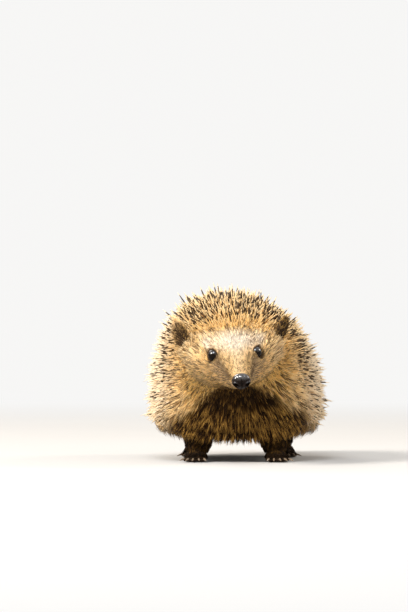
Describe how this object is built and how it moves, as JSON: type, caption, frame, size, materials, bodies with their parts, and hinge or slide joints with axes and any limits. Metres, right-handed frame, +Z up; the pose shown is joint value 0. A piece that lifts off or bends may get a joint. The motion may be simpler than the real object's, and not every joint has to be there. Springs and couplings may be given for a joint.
{
  "type": "hedgehog",
  "caption": "Standing European hedgehog, life size, facing forward with a slightly lowered and turned head, a domed spiny back, furry face and small flat feet.",
  "frame": {"origin": "middle of the ground under the animal, on the level of its soles", "axes": "+Z up; the animal faces -Y, and +X is its own left"},
  "size_m": [0.1194, 0.2204, 0.1129],
  "materials": {
    "spiny_coat": "stiff banded spines: cream root, dark brown band, pale tip",
    "face_fur": "soft golden brown fur, cream on the forehead",
    "throat_fur": "coarse brown fur with pale tips",
    "leg_fur": "short brown fur",
    "tail_fur": "short brown fur",
    "foot_skin": "dark granular skin, thinly haired",
    "ear_skin": "dark skin with short down",
    "nose_skin": "moist, finely grained black skin",
    "eye": "wet black",
    "claw": "greyish horn"
  },
  "bodies": {
    "root": {"head": "face_fur", "neck": "throat_fur", "trunk": "spiny_coat", "tail": "tail_fur", "nose": "nose_skin", "eye_left": "eye", "ear_left": "ear_skin", "eye_right": "eye", "ear_right": "ear_skin", "leg_front_left": "leg_fur", "foot_front_left": "foot_skin", "claw_front_left_1": "claw", "claw_front_left_2": "claw", "claw_front_left_3": "claw", "claw_front_left_4": "claw", "claw_front_left_5": "claw", "leg_front_right": "leg_fur", "foot_front_right": "foot_skin", "claw_front_right_1": "claw", "claw_front_right_2": "claw", "claw_front_right_3": "claw", "claw_front_right_4": "claw", "claw_front_right_5": "claw", "leg_hind_left": "leg_fur", "foot_hind_left": "foot_skin", "claw_hind_left_1": "claw", "claw_hind_left_2": "claw", "claw_hind_left_3": "claw", "claw_hind_left_4": "claw", "claw_hind_left_5": "claw", "leg_hind_right": "leg_fur", "foot_hind_right": "foot_skin", "claw_hind_right_1": "claw", "claw_hind_right_2": "claw", "claw_hind_right_3": "claw", "claw_hind_right_4": "claw", "claw_hind_right_5": "claw"}
  },
  "joints": []
}
